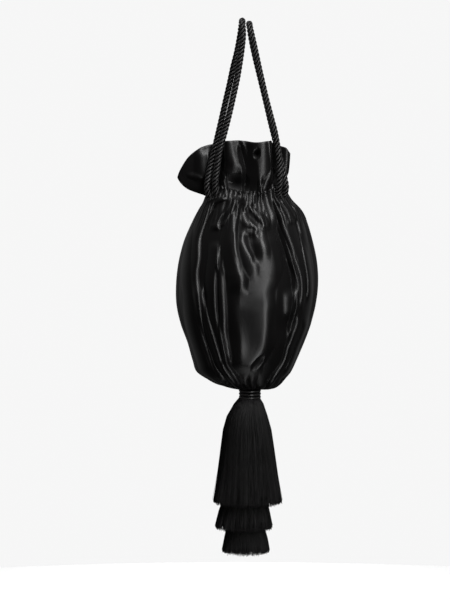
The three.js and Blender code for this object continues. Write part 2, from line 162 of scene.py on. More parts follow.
# Folds of the front: the ridge's line as (drop, x), how far it stands out (less than 0 for a valley), how far
# its left and right flanks run out at its first and last point, the lengths in which it runs out past those
# points, the power of its flanks' curve, 2 for a round ridge and 1 for a sharp one, the softness of the
# crease at a flank's foot, as a share of the height, and whether the mesh's columns follow the ridge
Fold = namedtuple("Fold", "line height left right fade power foot guide", defaults=(2, 0.05, False))
FRONT_FOLDS = (
    Fold([(168, -28), (172.5, -35.5), (180, -41), (191, -46.5), (206, -51), (226, -51.5), (240, -53.5),
          (250, -53), (262, -51), (280, -50.5), (297, -48.5), (310, -45.5), (320, -42), (336, -36),
          (350, -26)], 4.4, (14, 14), (5.5, 5.5), (8, 10), guide=True),
    Fold([(194, -58), (233, -61), (276, -58), (311, -50), (336, -41)], 1.6, (8, 8), (5, 5), (15, 12)),
    Fold([(262, -47), (287, -41), (308, -34.5), (320, -31), (334, -26), (351, -14)],
         3.2, (7, 7), (4, 4), (15, 10)),
    Fold([(216, -30.5), (226, -31), (234, -32.3), (242, -33.3), (266, -33.6), (291, -31), (308, -27),
          (320, -24), (336, -18.5), (351, -8)], 3.0, (9, 9), (4, 4), (8, 10), guide=True),
    Fold([(230, -29), (236, -27.8), (256, -26.5), (279, -25.2), (300, -24.5), (322, -21)],
         3.0, (3, 4.2), (5.5, 5.5), (8, 15)),
    Fold([(172, -9.5), (186, -12.5), (196, -14), (205, -15), (215, -15.5), (225, -14), (235, -11.5),
          (246, -7)], 4.2, (12, 14), (4, 8), (8, 16), guide=True),
    Fold([(212, 20), (225, 23), (235, 23.5), (245, 19.5), (256, 15.5), (266, 15), (276, 15), (297, 16),
          (309, 14), (318, 9), (331, 2)], 3.0, (40, 34), (12, 14), (10, 12), guide=True),
    Fold([(246, 11), (256, 10), (264, 10)], -1.5, (18, 18), (20, 20), (10, 14)),
    Fold([(198, 30), (205, 32.5), (215, 36), (225, 39.5), (235, 42), (252, 44.5), (266, 45),
          (280, 43.5), (294, 40)], -4.0, (11, 18), (4, 4), (18, 22), power=1),
    Fold([(166, -20.5), (177, -26.5), (186.4, -32.5), (193, -34)], 2.2, (5, 5), (7, 7), (6, 8)),
    Fold([(170, -11.5), (179, -17.5), (186.5, -23.5), (192.5, -27.5), (195, -30)],
         2.0, (5, 5), (4, 4), (6, 5)),
    Fold([(164, -2.5), (172, -2.5), (177, -5.5), (183, -6), (188, -2), (193, 5), (196, 11)],
         1.3, (5, 5), (5, 5), (8, 5)),
    Fold([(203, -6.5), (209, -6), (217, -3.5), (225, 1), (233, 5)], 1.8, (8, 11), (4.5, 7), (7, 16)),
    Fold([(205, 1), (212, 2.5), (222, 7)], -2.0, (3, 3), (12, 8), (6, 8), power=1),
    Fold([(192, 4), (200, 5)], 2.2, (13, 13), (6, 6), (6, 8)),
    Fold([(167, 4), (171, 3.5), (175.5, 1), (183, 8), (191, 13.3), (196, 13.5), (205, 14.5), (215, 17)],
         2.0, (5, 10), (4.2, 6), (6, 14)),
    Fold([(185, 14), (193, 19)], 2.2, (5, 5), (4, 4), (8, 8)),
    Fold([(172, 31), (193, 38), (213, 46), (231, 53), (251, 57), (275, 55.5), (296, 51), (313, 44), (332, 39),
          (350, 26)], 4.0, (5.5, 5.5), (10, 10), (8, 10), guide=True),
    Fold([(227, 42), (243, 50), (263, 52), (272, 50)], 2.0, (3.2, 3.2), (6, 6), (12, 8)),
    Fold([(264, 46), (278, 46.5)], 4.0, (10, 10), (5, 5), (9, 12), foot=0.3),
    Fold([(172, 36), (180, 42.5), (186, 45.5), (190, 45.5)], 2.4, (6, 6), (3, 4), (8, 5)),
    Fold([(178, 48.5), (196, 54), (204, 55.5), (213, 57), (229, 59), (245, 61), (258, 61.5)],
         3.2, (4, 3.4), (5, 5), (8, 16), guide=True),
    Fold([(296, 58), (312, 52), (328, 46), (341, 40)], 2.4, (3.5, 3.5), (6, 6), (12, 10)),
    Fold([(272, 2.5), (312, 3)], -1.6, (14, 9), (17, 12), (15, 30), foot=0.4),
)

# Folds of the frill's front, in the same columns
FRILL_FOLDS = (
    Fold([(113, -23), (121, -19.5), (132, -13)], 1.3, (9, 9), (8, 6), (8, 8)),
    Fold([(113, -5), (122, -3)], 0.8, (3, 3), (3, 3), (6, 6)),
    Fold([(122, -6), (130, -4), (138, -2), (150, -2), (162, -3)], -4.0, (4, 3), (12, 14), (10, 6), power=1),
    Fold([(115, 24.5), (130, 27), (142, 27), (153, 20.5), (161, 16)], 2.0, (4.5, 4.5), (4.5, 4.5), (8, 8)),
    Fold([(142, 28), (155, 28)], 1.4, (3, 3), (3, 3), (8, 8)),
    Fold([(152, 13), (165, 13)], 1.6, (3, 3), (3, 3), (8, 8)),
    Fold([(134, -34), (140, -30.5), (146, -26.5), (158, -23.5)], 1.8, (4.5, 4.5), (4.5, 4.5), (8, 8)),
    Fold([(128, -38), (147, -38)], 4.0, (15, 15), (5, 5), (9, 10), power=1),
)
FORWARD_SHARE = 0.7         # how much of a front fold's height goes straight forward

# Folds of the sides and back: the angle at which the ridge crosses three levels, and how far it stands out
BACK_LEVELS = np.array([186.0, 256.0, 340.0])
BACK_FOLDS = np.array([
    (341, 334, 338, 0.6), (2, 355, 358, 3.5), (24, 20, 16, 3.5), (47, 42, 40, 4.5), (66, 67, 64, 3.5),
    (90, 88, 90, 4.5), (111, 114, 112, 3.5), (134, 137, 140, 4.5), (158, 160, 163, 3.5), (183, 186, 190, 2.5),
])
BACK_FLANK = 9.0

# Leaf-shaped hollows of the front and the frill: drop, x, half length, half width, lean of the low end to the
# right in degrees, and depth, less than 0 for a bump
HOLLOWS = np.array([
    (185, -22.5, 11, 2.8, -36, 2.0),
    (185, 4.5, 11, 3.2, 35, 2.0),
    (180, 38, 10, 3.0, 35, 1.2),
    (330, 10, 10, 3.6, -42, 2.2),
    (124, 9.5, 5.0, 3.6, -25, 4.0),
    (152, -10, 10, 13, 0, 3.4),
    (148, -52, 9, 3.5, 80, -1.6),
])

# The ropes' routes from the front slot in the casing up over the arch and down to the back slot
LEFT_ROUTE = np.array([
    (-28.4, -12, -169), (-30, -15.2, -165.5), (-31.8, -19, -159), (-31.4, -20.8, -150), (-29.8, -21.2, -138),
    (-27, -21, -119), (-23.3, -20.2, -106), (-18.4, -19, -87), (-14, -17.8, -68), (-10, -16.4, -49.5),
    (-7.4, -15.2, -34), (-5.2, -14.2, -18), (-4.2, -13.4, -5.5), (-4.6, -9.6, 2.2), (-5, 0, 6.2),
    (-5.6, 9.6, 2.2), (-6.8, 13.4, -7.5), (-9.8, 11.8, -24), (-13.8, 8.8, -40), (-17.2, 5.4, -56),
    (-21.8, 1.2, -75.5), (-26, -2.8, -94), (-30.3, -6.8, -112), (-35, -11, -131.5), (-38.8, -14.2, -149),
    (-39.8, -14.8, -158), (-37.8, -11.6, -166.5), (-35.6, -8.8, -171),
]) * MM
RIGHT_ROUTE = np.array([
    (28, -11.6, -169), (29.6, -14.8, -165.5), (31.6, -18.6, -158), (32.2, -20.2, -149), (31.8, -20.4, -137),
    (30, -20.2, -119), (27.2, -19.6, -103), (23, -18.6, -87), (18, -17.4, -68), (13.8, -16, -50),
    (10, -14.8, -33), (7.4, -14.2, -21), (4.6, -13.4, -8.5), (2.9, -9.6, -0.8), (2, 0, 3.2),
    (2.4, 9.6, -0.8), (4, 13.4, -10.5), (7.2, 11.8, -26), (11, 8.8, -42), (15.2, 5.2, -59),
    (19.4, 1.6, -76.5), (23.6, -1.8, -94.5), (28, -5.2, -112), (32.8, -8.8, -131), (37, -12, -149),
    (38.4, -13.2, -158), (36.6, -10.4, -166), (34.6, -7.8, -170.5),
]) * MM

# Tassel tiers: the bundle's outside as (drop, middle, radius), and how many threads show on it
Tier = namedtuple("Tier", "node rows threads")
TIERS = (
    Tier("tassel_tier_top", [(366.6, FOOT_X, 7.4), (371.4, FOOT_X, 7.6), (373, FOOT_X, 10.2),
                             (379, 1.2, 16.4), (390, 0.3, 20.6), (402, 0.3, 24), (420, 0.5, 26.6),
                             (447, 0.8, 30), (476, 0.8, 34)], 3000),
    Tier("tassel_tier_middle", [(446.3, 0, 9), (452, 0, 13), (470, -1.5, 20.5), (484, -2.5, 25),
                                (502, -3, 28.4)], 2400),
    Tier("tassel_tier_bottom", [(482.3, -2, 9), (488, -2, 13), (502, -1.5, 18.5), (512, -1, 21.3),
                                (526.5, -1, 23.6)], 2000),
)


def ease(value, start, end):
    """0 before start, 1 after end and 3t^2 - 2t^3 between them; start may be the larger one."""
    share = np.clip((value - start) / (end - start), 0, 1)
    return share * share * (3 - 2 * share)


def curve_through(places, values, at):
    """A cubic Hermite curve through rows of values; a row's slope is that of the parabola round it."""
    places = np.asarray(places, float)
    values = np.asarray(values, float)
    slopes = np.gradient(values, places, axis=0)
    before = np.clip(np.searchsorted(places, at) - 1, 0, len(places) - 2)
    span = places[before + 1] - places[before]
    share = np.clip((at - places[before]) / span, 0, 1)
    if values.ndim == 2:
        span = span[..., None]
        share = share[..., None]
    square = share * share
    cube = square * share
    return ((2 * cube - 3 * square + 1) * values[before]
            + (3 * square - 2 * cube) * values[before + 1]
            + (cube - 2 * square + share) * span * slopes[before]
            + (cube - square) * span * slopes[before + 1])


def spread_by(density, places, count, closed=False):
    """Count places at which the summed density grows by equal steps."""
    total = np.concatenate([[0], np.cumsum((density[1:] + density[:-1]) / 2 * np.diff(places))])
    return np.interp(np.linspace(0, total[-1], count, endpoint=not closed), total, places)


def unit(vectors):
    """The vectors, each at length one."""
    return vectors / np.linalg.norm(vectors, axis=-1, keepdims=True)


def ring_quads(rows, columns, first=0):
    """Corner numbers and (row, column) places of the quads of a grid that closes round its columns."""
    row, column = np.meshgrid(np.arange(rows - 1), np.arange(columns), indexing="ij")
    corner_row = np.stack([row, row, row + 1, row + 1], -1).reshape(-1, 4)
    corner_column = np.stack([column, column + 1, column + 1, column], -1).reshape(-1, 4)
    corners = first + corner_row * columns + corner_column % columns
    return corners, corner_row, corner_column


def ring_fan(ring, middle):
    """Triangles from a ring's edges to one middle point."""
    return np.stack([ring, np.roll(ring, -1), np.full(len(ring), middle)], -1)


def closed_tube(grid, ends):
    """Points and faces of a tube of rings, with a fan at each end round that end's middle point."""
    rings, columns, _ = grid.shape
    points = np.concatenate([grid.reshape(-1, 3), ends])
    quads, _, _ = ring_quads(rings, columns)
    first_fan = ring_fan(np.arange(columns)[::-1], len(points) - 2)
    last_fan = ring_fan((rings - 1) * columns + np.arange(columns), len(points) - 1)
    return points, [*quads.tolist(), *first_fan.tolist(), *last_fan.tolist()]


def add_piece(name, points, faces, corner_uv=None):
    """A smooth mesh object at the origin, with a UV map in metres where the corners' places are given."""
    mesh = bpy.data.meshes.new(name)
    mesh.from_pydata(points.tolist(), [], faces)
    mesh.polygons.foreach_set("use_smooth", np.ones(len(mesh.polygons), bool))
    if corner_uv is not None:
        mesh.uv_layers.new(name="UVMap").data.foreach_set("uv", corner_uv.astype(np.float32).ravel())
    mesh.update()
    piece = bpy.data.objects.new(name, mesh)
    bpy.context.scene.collection.objects.link(piece)
    return piece


def add_values(piece, name, values):
    """A named value for each vertex, which a material can read."""
    piece.data.attributes.new(name, "FLOAT", "POINT").data.foreach_set("value", values.astype(np.float32))


def ridge(away, left, right, power=2, foot=0.05):
    """An arch, about 1 on its line and 0 past its flanks' ends: with t = 1 - |d / flank|^power at a distance
    d, it is (t + sqrt(t^2 + foot^2)) / 2, which softens the crease at each flank's foot."""
    height = 1 - np.abs(away / np.where(away < 0, left, right))**power
    return (height + np.sqrt(height**2 + foot**2)) / 2


def front_fold_height(drop, x):
    """The sum of the ridges of the front and the frill; each runs along its line, with flanks that change
    from its first point to its last, and dies out past the line's ends."""
    height = np.zeros_like(drop)
    for fold in FRONT_FOLDS + FRILL_FOLDS:
        levels, places = np.array(fold.line, float).T
        line = curve_through(levels, places, drop)
        slope = curve_through(levels, places, drop + 1) - line
        away = (x - line) / np.sqrt(1 + slope**2)
        along = ease(drop, levels[0], levels[-1])
        left = fold.left[0] + (fold.left[1] - fold.left[0]) * along
        right = fold.right[0] + (fold.right[1] - fold.right[0]) * along
        ends = (ease(drop, levels[0] - fold.fade[0], levels[0])
                * ease(drop, levels[-1] + fold.fade[1], levels[-1]))
        height += fold.height * ends * ridge(away, left, right, fold.power, fold.foot)
    return height


def back_fold_height(drop, angle, reach):
    """The sum of the ridges of the sides and back, which follow angles and die out at the casing and the
    foot; the distance from a ridge is the angle to it times the reach."""
    height = np.zeros_like(drop)
    for fold in BACK_FOLDS:
        line = curve_through(BACK_LEVELS, np.unwrap(fold[:3], period=360), drop)
        away = ((angle - line + 180) % 360 - 180) * reach * math.pi / 180
        height += fold[3] * ridge(away, BACK_FLANK, BACK_FLANK)
    return height * ease(drop, 170, 192) * ease(drop, 362, 346)


def hollow_height(drop, x):
    """The sum of the hollows: -depth (1 - q^2) within q = 1, where q is the distance from the middle in half
    lengths along the leaf and half widths across it."""
    height = np.zeros_like(drop)
    for middle_drop, middle_x, length, width, lean, depth in HOLLOWS:
        across = x - middle_x
        down = drop - middle_drop
        turn = math.radians(lean)
        along_leaf = across * math.sin(turn) + down * math.cos(turn)
        across_leaf = across * math.cos(turn) - down * math.sin(turn)
        size = np.sqrt((along_leaf / length)**2 + (across_leaf / width)**2)
        height -= depth * np.clip(1 - size**2, 0, 1)
    return height


def gather_height(level, angle):
    """Drawn-up pleats: -depth u^2, where u runs from -1 to 1 over each pleat, so that crests are round and
    valleys pinched; the pleats' phase wanders with the angle. They die out below and end above at an edge
    that steps up at each crest, over which the frill's foot lies deeper. The tied foot has pleats of its
    own, depth (|cos(phase / 2)| - 1)."""
    turn = np.radians(angle)
    phase = GATHERS * turn + 1.2 * np.sin(5 * turn + 0.7) + 0.9 * np.sin(11 * turn + 2.1)
    depth = GATHER_DEPTH * (0.8 + 0.2 * np.sin(7 * turn + 1.0)) * (1 + np.cos(turn)**2)
    depth = depth * (1 - 0.8 * np.exp(-((angle - LOBE_ANGLE) / 11)**2))
    crest = 1 - (2 * (phase / (2 * math.pi) % 1) - 1)**2
    edge = EDGE_LEVEL + 2.5 * np.sin(6 * turn + 0.5) - 3.5 * crest
    casing = ease(level, edge, edge + 4)
    recess = FRILL_RECESS * (1 - casing) * ease(level, 138, 156)
    foot_phase = FOOT_PLEATS * turn + 1.1 * np.sin(4 * turn + 0.4) + 0.8 * np.sin(9 * turn + 1.3)
    foot = ease(level, 338, 357) * ease(level, 364, 358)
    pleats = depth * casing * ease(level, 204, 182) * (crest - 1)
    return pleats - recess + FOOT_PLEAT_DEPTH * foot * (np.abs(np.cos(foot_phase / 2)) - 1)


def around_table(rows, angle):
    """The columns of a table of angles, on a smooth curve that closes round the bag."""
    turn = np.zeros(rows.shape[1])
    turn[0] = 360
    closed = np.concatenate([rows - turn, rows, rows + turn])
    return curve_through(closed[:, 0], closed[:, 1:], angle)


def section_frame(rows, angle):
    """Points of plain sections, x = middle + reach cos a, y = deep sin a, z = share lift(a) - drop, and their
    outward directions, which are those of the ellipse. Each row has its own angles."""
    drop, middle, left, right, deep, lift_share = (column[:, None] for column in rows.T)
    c = np.cos(np.radians(angle))
    s = np.sin(np.radians(angle))
    lift = around_table(CASING_LIFT, angle)[..., 0]
    reach = np.where(c < 0, left, right)
    points = np.stack([middle + c * reach, s * deep, lift_share * lift - drop], -1)
    out = unit(np.stack([c / reach, s / deep, np.zeros_like(reach)], -1))
    return points, out


def frill_frame(shares, angle):
    """Points of the plain frill on quadratic curves that leave the casing's top, lean out and turn up."""
    foot, out = section_frame(POUCH_ROWS[-1:], angle[None])
    hem = around_table(FRILL_HEM, angle)[None] * np.array([1, 1, -1.0])
    bend = foot + (hem - foot) * np.array([FRILL_BEND_REACH, FRILL_BEND_REACH, FRILL_BEND_RISE])
    share = shares[:, None, None]
    points = (1 - share)**2 * foot + 2 * share * (1 - share) * bend + share**2 * hem
    return points, np.broadcast_to(out, points.shape)


def column_angles(rows, turns):
    """The columns' angles in each row, which lean so that a column follows each guide fold: a column's turn,
    plus the guides' own shifts, spread to the columns between them by hat functions."""
    drop, middle, left, right, _, lift_share = rows.T
    anchors = [180.0]
    shifts = [np.zeros(len(rows))]
    for guide in (fold for fold in FRONT_FOLDS if fold.guide):
        levels, places = np.array(guide.line, float).T
        lifted = drop
        # three rounds settle the angle and the lift at it, since each depends on the other
        for _ in range(3):
            x = curve_through(levels, places, lifted) - middle
            angle = 360 - np.degrees(np.arccos(np.clip(x / np.where(x < 0, left, right), -0.97, 0.97)))
            lifted = drop - lift_share * around_table(CASING_LIFT, angle)[:, 0]
        inside = (lifted >= levels[0]) & (lifted <= levels[-1])
        angle = np.interp(drop, drop[inside][::-1], angle[inside][::-1])
        anchors.append(angle.mean())
        shifts.append(angle - angle.mean())
    anchors.append(360.0)
    shifts.append(np.zeros(len(rows)))
    order = np.argsort(anchors)
    hats = np.stack([np.interp(turns, np.array(anchors)[order], peak) for peak in np.eye(len(anchors))])
    return turns + np.array(shifts)[order].T @ hats


def cloth_relief(points, out, angle, level, gathers):
    """How folds, hollows and gathers move the plain surface: those of the front mostly towards the front, and
    the rest along the outward direction, with the body drawn in a little to make room for its folds. Level
    is a row's drop without the lift."""
    drop = -points[..., 2]
    x = points[..., 0]
    front = ease(-out[..., 1], -0.1, 0.3)
    reach = np.linalg.norm(points[..., :2], axis=-1)
    front_height = front * (front_fold_height(drop, x) + hollow_height(drop, x))
    round_height = (back_fold_height(drop, angle, reach) * (1 - 0.7 * front)
                    + gathers * gather_height(level, angle) - FOLD_ROOM * ease(drop, 168, 190))
    forward = unit(FORWARD_SHARE * np.array([0, -1.0, 0]) + (1 - FORWARD_SHARE) * out)
    return forward * front_height[..., None] + out * round_height[..., None]


def pouch_grid(angle, body_rows, frill_shares, gathers):
    """The cloth's surface from the foot to the hem: plain sections and frill, each moved by the relief."""
    body, body_out = section_frame(body_rows, angle)
    frill, frill_out = frill_frame(frill_shares, angle[-1])
    points = np.concatenate([body, frill])
    out = np.concatenate([body_out, frill_out])
    level = np.concatenate([body_rows[:, 0], CASING_TOP + (HEM_DROP - CASING_TOP) * frill_shares])[:, None]
    all_angles = np.concatenate([angle, np.repeat(angle[-1:], len(frill_shares), axis=0)])
    level = np.broadcast_to(level, all_angles.shape)
    return points + cloth_relief(points, out, all_angles, level, gathers)


def grid_normals(points):
    """Outward unit normals of a grid that closes round its columns, from the differences of neighbours."""
    around = np.roll(points, -1, axis=1) - np.roll(points, 1, axis=1)
    upward = np.gradient(points, axis=0)
    return unit(np.cross(around, upward))


def sample_body_rows(count):
    """Pouch sections at places along the profile's length, closer together round the casing."""
    mean_reach = POUCH_ROWS[:, 2:5].mean(axis=1)
    steps = np.hypot(np.diff(mean_reach), np.diff(POUCH_ROWS[:, 0]))
    ways = np.concatenate([[0], np.cumsum(steps)])
    fine = np.linspace(0, ways[-1], 2000)
    drop = curve_through(ways, POUCH_ROWS[:, 0], fine)
    density = 1 + 1.6 * ease(drop, 215, 200)
    chosen = spread_by(density, fine, count)
    return curve_through(ways, POUCH_ROWS, chosen), chosen


def crease_shade_mask(points, normals):
    """How sharply the cloth is creased inwards, from 0 to 1, as the mask of painted shade in the creases: the
    curvature across the columns where it is concave, which is twice the height of the neighbours' middle over
    the squared step, times a radius."""
    after = np.roll(points, -1, axis=1)
    before = np.roll(points, 1, axis=1)
    step = np.linalg.norm(after - before, axis=-1) / 2
    rise = ((after + before) / 2 - points) * normals
    sharp = np.clip(2 * rise.sum(axis=-1) / step**2 * CREASE_RADIUS, 0, 1)
    return (np.roll(sharp, 1, axis=1) + 2 * sharp + np.roll(sharp, -1, axis=1)) / 4


def hollow_shade_mask(points, normals):
    """How deep a point of the front lies in a hollow, from 0 to 1, as the mask of painted shade in the
    hollows.
    """
    depth = -hollow_height(-points[..., 2], points[..., 0])
    return np.clip(depth / SHADED_DEPTH, 0, 1) * ease(-normals[..., 1], -0.1, 0.3)


def column_turns():
    """The columns' places round the bag in degrees, closer together in front."""
    fine = np.linspace(0, 360, 2000)
    share_front = FRONT_COLUMNS / (FRONT_COLUMNS + BACK_COLUMNS)
    front = ease(-np.sin(np.radians(fine)), -0.3, 0.3)
    return spread_by(share_front * front + (1 - share_front) * (1 - front), fine,
                     FRONT_COLUMNS + BACK_COLUMNS, closed=True)


def pouch_lining(angle, body_rows):
    """The lining from the hem down to its floor: every second column of the cloth without gathers, moved in
    by the cloth's thickness, and by more behind the gathers."""
    chosen = np.linspace(LINING_START, BODY_ROWS - 1, LINING_ROWS // 2).astype(int)
    shares = np.linspace(0, 1, LINING_ROWS // 2 + 1)[1:]
    cloth = pouch_grid(angle[chosen, ::2], body_rows[chosen], shares, 0.0)
    depth = CLOTH + 2.5 * GATHER_DEPTH * ease(-cloth[..., 2], 150, 165)
    return (cloth - grid_normals(cloth) * depth[..., None])[::-1]


def make_pouch():
    """One closed wall: the outside up to the hem, over it, and the lining down to a floor over the tied foot.
    The lining has half as many columns, so five-sided faces join it to the outside."""
    turns = column_turns()
    body_rows, ways = sample_body_rows(BODY_ROWS)
    angle = column_angles(body_rows, turns)
    shares = np.linspace(0, 1, FRILL_ROWS_UP + 1)[1:]
    outside = pouch_grid(angle, body_rows, shares, 1.0)
    normals = grid_normals(outside)
    hem = outside[-1] - normals[-1] * CLOTH / 2 + np.array([0, 0, CLOTH / 2])
    lining = pouch_lining(angle, body_rows)
    foot_middle = outside[0].mean(axis=0)
    floor_middle = lining[-1].mean(axis=0) + np.array([0, 0, FLOOR_RISE])
    points = np.concatenate([outside.reshape(-1, 3), hem, lining.reshape(-1, 3), [foot_middle, floor_middle]])

    rows = len(outside)
    columns = len(turns)
    half = columns // 2
    outer_faces, outer_row, outer_column = ring_quads(rows + 1, columns)
    lining_first = (rows + 1) * columns
    lining_faces, lining_row, lining_column = ring_quads(len(lining), half, lining_first)
    pair = np.arange(half)
    hem_first = rows * columns
    join = np.stack([hem_first + 2 * pair, hem_first + 2 * pair + 1, hem_first + (2 * pair + 2) % columns,
                     lining_first + (pair + 1) % half, lining_first + pair], -1)
    foot_fan = ring_fan(np.arange(columns)[::-1], len(points) - 2)
    floor_ring = lining_first + (len(lining) - 1) * half + np.arange(half)
    floor_fan = ring_fan(floor_ring, len(points) - 1)

    girth = 2 * math.pi * GIRTH_RADIUS
    row_way = np.concatenate([ways, ways[-1] + FRILL_LENGTH * shares, [ways[-1] + FRILL_LENGTH]])
    around = np.append(turns, 360) / 360 * girth
    outer_uv = np.stack([around[outer_column], row_way[outer_row]], -1)
    lining_way = ways[-1] + FRILL_LENGTH - np.linspace(0, LINING_LENGTH, len(lining))
    half_around = np.append(turns[::2], 360) / 360 * girth
    lining_uv = np.stack([half_around[lining_column], lining_way[lining_row]], -1)
    join_around = np.stack([around[2 * pair], around[2 * pair + 1], around[2 * pair + 2],
                            half_around[pair + 1], half_around[pair]], -1)
    join_uv = np.stack([join_around, np.full(join_around.shape, row_way[-1])], -1)
    fan_uv = np.zeros(((len(foot_fan) + len(floor_fan)) * 3, 2))
    corner_uv = np.concatenate([outer_uv.reshape(-1, 2), lining_uv.reshape(-1, 2), join_uv.reshape(-1, 2),
                                fan_uv])
    faces = [*outer_faces.tolist(), *lining_faces.tolist(), *join.tolist(), *foot_fan.tolist(),
             *floor_fan.tolist()]
    piece = add_piece("pouch_satin", points * MM, faces, corner_uv * MM)
    # painted shade: the material darkens the creases and hollows through this mask
    crease = np.maximum(crease_shade_mask(outside, normals), hollow_shade_mask(outside, normals))
    add_values(piece, "crease", np.append(crease, np.zeros(len(points) - crease.size)))
    return piece


def path_frames(path):
    """Two unit directions across a path at each point: one square to the path and to +X, and one square to
    the path and to the first."""
    tangent = unit(np.gradient(path, axis=0))
    normal = unit(np.cross(np.array([1.0, 0, 0]), tangent))
    return normal, np.cross(tangent, normal)


def path_lengths(path):
    """The length of the path up to each of its points."""
    return np.concatenate([[0], np.cumsum(np.linalg.norm(np.diff(path, axis=0), axis=1))])


def route_path(route, step):
    """A smooth path through a route's points, with points a step apart."""
    places = path_lengths(route)
    fine = curve_through(places, route, np.linspace(0, places[-1], 4000))
    lengths = path_lengths(fine)
    return np.stack([np.interp(np.arange(0, lengths[-1], step), lengths, column) for column in fine.T], -1)


def strand_profile(strands, diameter, points_per_strand):
    """Angles and radii of a rope's section, round strands with their middles on a circle: at an angle a off a
    strand's middle the radius is c cos a + sqrt(s^2 - (c sin a)^2), for a circle c and strands s."""
    count = strands * points_per_strand
    angle = np.arange(count) * 2 * math.pi / count
    strand = diameter * STRAND_SHARE
    centre = diameter / 2 - strand
    off = (angle + math.pi / strands) % (2 * math.pi / strands) - math.pi / strands
    return angle, centre * np.cos(off) + np.sqrt(strand**2 - (centre * np.sin(off))**2)


def make_rope(name, route):
    """A twisted rope: the lobed section of its strands turns once a pitch as it is carried along the path."""
    path = route_path(route, ROPE_STEP * MM)
    normal, second = path_frames(path)
    length = path_lengths(path)
    angle, radius = strand_profile(ROPE_STRANDS, ROPE_DIAMETER * MM, STRAND_POINTS)
    turned = angle[None, :] + 2 * math.pi * length[:, None] / (ROPE_PITCH * MM)
    across = np.cos(turned)[..., None] * normal[:, None] + np.sin(turned)[..., None] * second[:, None]
    grid = path[:, None] + across * radius[None, :, None]
    columns = len(angle)
    points, faces = closed_tube(grid, path[[0, -1]])
    _, quad_row, quad_column = ring_quads(len(path), columns)
    quad_uv = np.stack([quad_column * math.pi * ROPE_DIAMETER * MM / columns, length[quad_row]], -1)
    corner_uv = np.concatenate([quad_uv.reshape(-1, 2), np.zeros((6 * columns, 2))])
    rope = add_piece(name, points, faces, corner_uv)
    # the strands' crest share, which the material turns into painted highlights on the crests and painted
    # shade in the grooves
    crest = (radius - radius.min()) / (radius.max() - radius.min())
    add_values(rope, "strand_crest_light", np.append(np.tile(crest, len(path)), [0, 0]))
    return rope, path


def make_binding():
    """The cord's turns round the tied foot: rings of a round section, one under the other."""
    steps = 96
    columns = 14
    turn = np.arange(steps)[:, None] * 2 * math.pi / steps
    angle = np.arange(columns) * 2 * math.pi / columns
    reach = BINDING_RADIUS + BINDING_CORD / 2 * np.cos(angle)
    level = BINDING_TOP + BINDING_CORD * (np.arange(BINDING_TURNS)[:, None, None] + 0.5)
    grid = np.broadcast_arrays(FOOT_X + reach * np.cos(turn), reach * np.sin(turn),
                               -level - BINDING_CORD / 2 * np.sin(angle))
    points = np.stack(grid, -1).reshape(-1, 3) * MM
    quads, quad_row, quad_column = ring_quads(steps + 1, columns)
    each = steps * columns
    faces = (np.arange(BINDING_TURNS)[:, None, None] * each + quads % each).reshape(-1, 4)
    quad_uv = np.stack([quad_column * math.pi * BINDING_CORD * MM / columns,
                        quad_row * 2 * math.pi * BINDING_RADIUS * MM / steps], -1)
    binding = add_piece("binding_cord", points, faces.tolist(),
                        np.tile(quad_uv.reshape(-1, 2), (BINDING_TURNS, 1)))
    # painted light on the cord's outer side and painted shade on its inner side, through the strand mask
    add_values(binding, "strand_crest_light", np.tile(np.clip(np.cos(angle), 0, 1)**3, steps * BINDING_TURNS))
    return binding


def tier_core(rows, columns=64):
    """The inside of a tier that its threads cover: rings a little inside the bundle, closed at both ends."""
    drop, middle, radius = rows.T
    drop = drop.copy()
    drop[-1] -= CORE_SHORT
    angle = np.arange(columns) * 2 * math.pi / columns
    inner = radius - CORE_INSET
    grid = np.stack([middle[:, None] + inner[:, None] * np.cos(angle), inner[:, None] * np.sin(angle),
                     np.broadcast_to(-drop[:, None], (len(drop), columns))], -1)[::-1]
    return closed_tube(grid, grid[[0, -1]].mean(axis=1))


def thread_lines(rows, count, draw):
    """Lines of a tier's threads, which leave the head at chosen angles, follow the bundle's outside at their
    own depth, draw together a little into locks and end unevenly at the hem. With the lines come the angle
    and the share of the way at their points, and the threads' depths."""
    depth = draw.random(count)[:, None]**1.5
    root = draw.random(count)[:, None] * 2 * math.pi
    lock = LOCK_PULL * np.sin(TIER_LOCKS * root + 1.5 * np.sin(3 * root)) / TIER_LOCKS
    sway = draw.normal(0, THREAD_SWAY, count)[:, None]
    cut = draw.normal(0, CUT_SPREAD, count)[:, None]
    outline = curve_through(rows[:, 0], rows, np.linspace(rows[0, 0], rows[-1, 0], 400))
    way = path_lengths(outline[:, [0, 2]])
    share = np.append(np.linspace(0, 0.985, THREAD_STEPS - 1), 1)[None, :]
    drop, middle, radius = (np.interp(share * way[-1], way, column) for column in outline.T)
    inside = 1 - depth * np.minimum(THREAD_LAYER / radius, 0.4)
    angle = root - (lock - sway) * share
    lift = np.where(share > 0.999, cut, 0)
    flare = 1 + THREAD_FLARE * draw.normal(0, 1, count)[:, None] * share**4
    reach = radius * inside * flare
    line = np.stack([middle + reach * np.cos(angle), reach * np.sin(angle), -drop - lift], -1)
    return line, angle, share, depth


